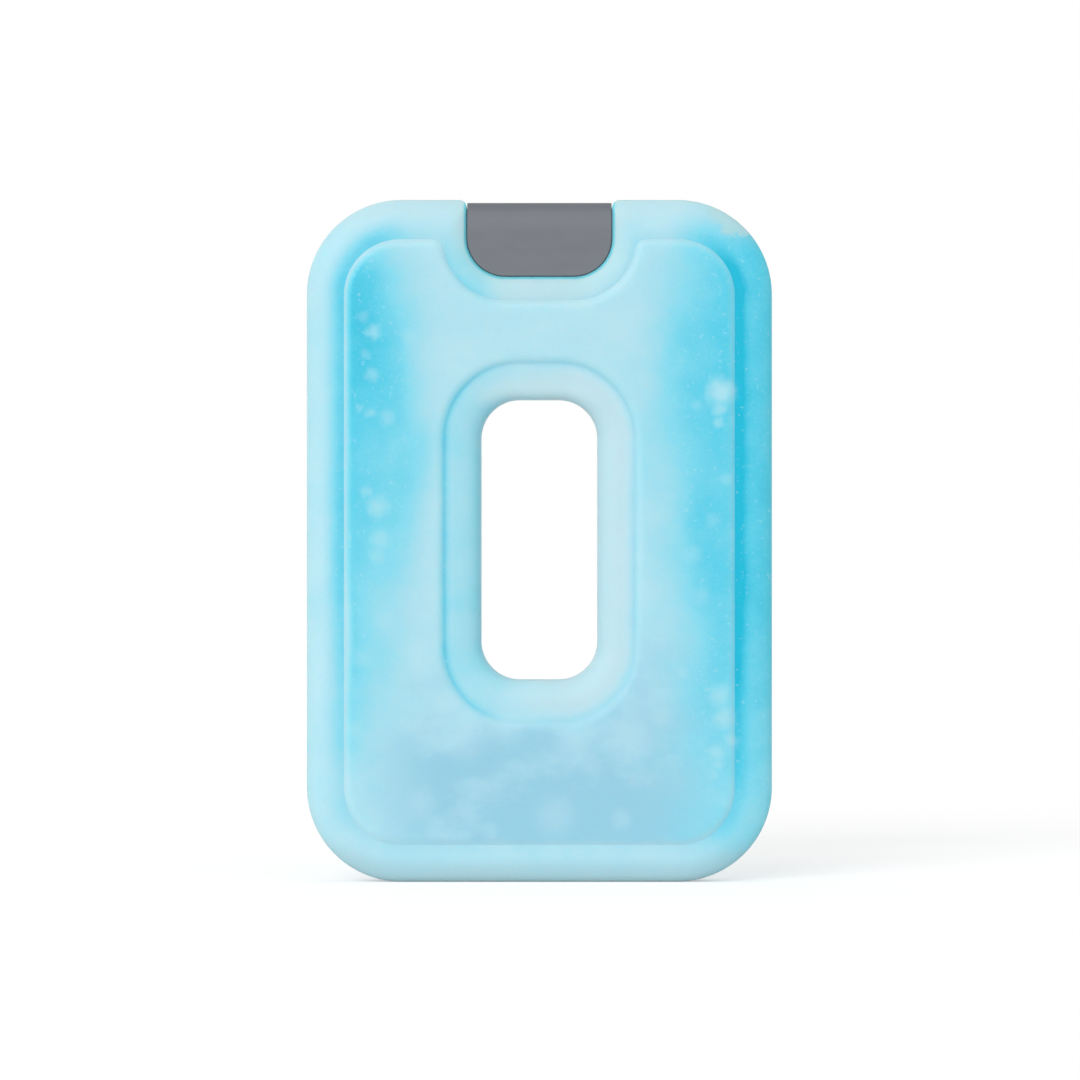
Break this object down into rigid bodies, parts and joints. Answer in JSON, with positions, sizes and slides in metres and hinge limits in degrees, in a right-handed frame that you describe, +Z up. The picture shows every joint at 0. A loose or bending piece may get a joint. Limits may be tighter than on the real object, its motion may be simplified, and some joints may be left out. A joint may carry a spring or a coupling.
{
  "type": "reusable ice pack",
  "caption": "Slim refreezable ice pack: a hollow translucent aqua slab with a hand slot, frozen gel inside and a grey saddle cap over its fill hole.",
  "frame": {"origin": "middle of the flat bottom edge that the pack stands on", "axes": "+X across the width, +Y from the front face to the back face, +Z up the height towards the cap"},
  "size_m": [0.1366, 0.02, 0.2],
  "materials": {
    "shell": "satin translucent aqua polyethylene",
    "gel": "frozen blue gel with frost",
    "cap": "fine matte grey"
  },
  "bodies": {
    "root": {"shell": "shell", "gel_fill": "gel", "cap": "cap"}
  },
  "joints": []
}
